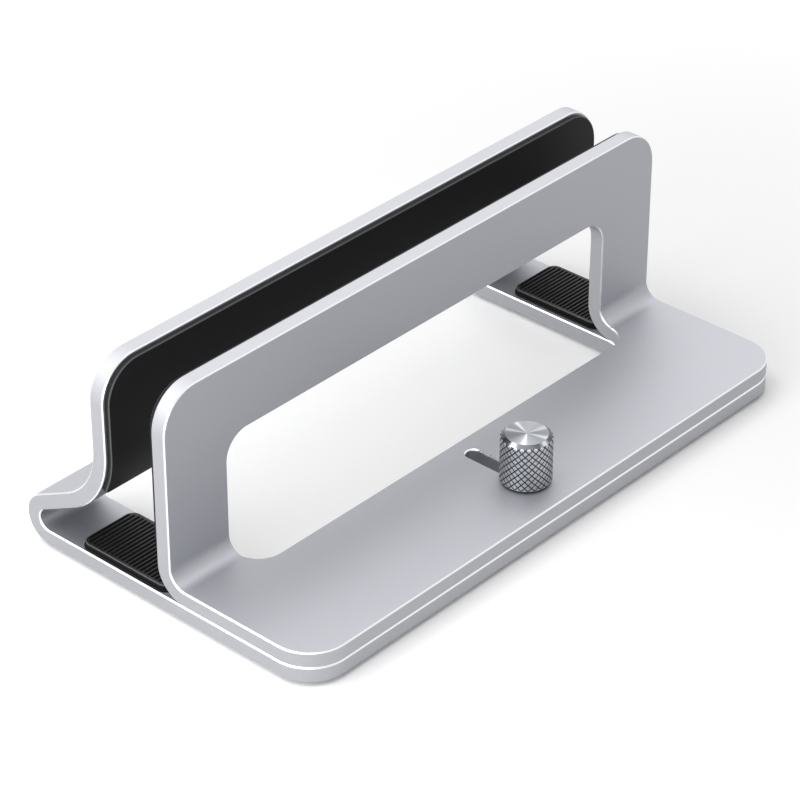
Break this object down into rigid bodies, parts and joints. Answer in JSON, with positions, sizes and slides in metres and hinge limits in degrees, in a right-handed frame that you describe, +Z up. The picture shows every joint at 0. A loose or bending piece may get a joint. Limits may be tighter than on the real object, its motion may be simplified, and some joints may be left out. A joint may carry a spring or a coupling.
{
  "type": "vertical laptop stand",
  "caption": "Upright laptop holder: two folded aluminium plates form a padded slot, and the front plate slides on the base to suit the laptop and is clamped by a knurled knob.",
  "frame": {"origin": "middle of the footprint, on the surface that the feet stand on, with the front plate at its narrowest setting", "axes": "+X along the walls, +Y from the knob towards the folded rear, +Z up"},
  "size_m": [0.2, 0.1062, 0.0681],
  "materials": {
    "sheet": "satin anodised with bright chamfered edges",
    "turned_knob": "turned and knurled",
    "wall_pad": "matt",
    "rest_rubber": "matt, ribbed",
    "foot_rubber": "matt",
    "nylon": "moulded",
    "steel": "zinc plated"
  },
  "bodies": {
    "base": {"rear_bracket": "sheet", "rear_pad": "wall_pad", "rest_pad_left": "rest_rubber", "rest_pad_right": "rest_rubber", "clamp_nut": "steel", "foot_front_left": "foot_rubber", "foot_front_right": "foot_rubber", "foot_rear_left": "foot_rubber", "foot_rear_right": "foot_rubber"},
    "slider": {"front_bracket": "sheet", "front_pad": "wall_pad", "guide_pin_left": "steel", "guide_pin_right": "steel"},
    "clamp_washer": {"knob_washer": "nylon"},
    "clamp_knob": {"knob": "turned_knob", "clamp_stud": "steel"}
  },
  "joints": [
    {"name": "front_slide", "type": "slide", "parent": "base", "child": "slider", "axis": [0, -1, 0], "range_m": [0, 0.019]},
    {"name": "knob_rise", "type": "slide", "parent": "base", "child": "clamp_washer", "axis": [0, 0, 1], "range_m": [0, 0.0015]},
    {"name": "knob_turn", "type": "hinge", "parent": "clamp_washer", "child": "clamp_knob", "pos_m": [0, -0.03915, 0.0112], "axis": [0, 0, 1], "range_deg": [0, 720]}
  ],
  "couplings": [
    {"joint": "knob_rise", "follows": "knob_turn", "m_per_rad": 0.00011141}
  ]
}
